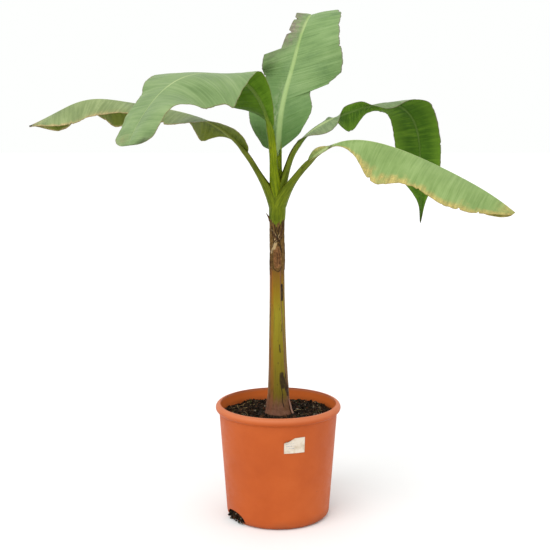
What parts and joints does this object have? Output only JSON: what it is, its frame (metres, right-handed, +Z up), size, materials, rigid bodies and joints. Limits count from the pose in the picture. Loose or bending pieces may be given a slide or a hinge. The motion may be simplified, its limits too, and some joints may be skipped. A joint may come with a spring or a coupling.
{
  "type": "potted banana plant",
  "caption": "Young banana plant with broad arching leaves on a tall sheathed stem, growing in a round tapered nursery pot filled with soil.",
  "frame": {"origin": "middle of the pot's flat underside", "axes": "+Z up along the stem, -Y towards the front, which is the side of the pot with the label"},
  "size_m": [1.1038, 0.6688, 1.2126],
  "materials": {
    "pot": "smooth moulded plastic",
    "soil": "crumbly potting soil",
    "label": "matt, bare",
    "stem": "fibrous leaf sheaths, dry and brown in places",
    "leaf_stalk": "smooth and waxy",
    "leaf": "satin, with fine side veins"
  },
  "bodies": {
    "root": {"pot": "pot", "soil": "soil", "label": "label", "pseudostem": "stem", "petiole_back": "leaf_stalk", "blade_back_inner": "leaf", "blade_back_outer": "leaf", "petiole_front": "leaf_stalk", "blade_front_inner": "leaf", "blade_front_outer": "leaf", "petiole_left": "leaf_stalk", "blade_left_inner": "leaf", "blade_left_outer": "leaf", "petiole_right": "leaf_stalk", "blade_right_inner": "leaf", "blade_right_outer": "leaf", "petiole_low": "leaf_stalk", "blade_low_inner": "leaf", "blade_low_outer": "leaf"}
  },
  "joints": []
}
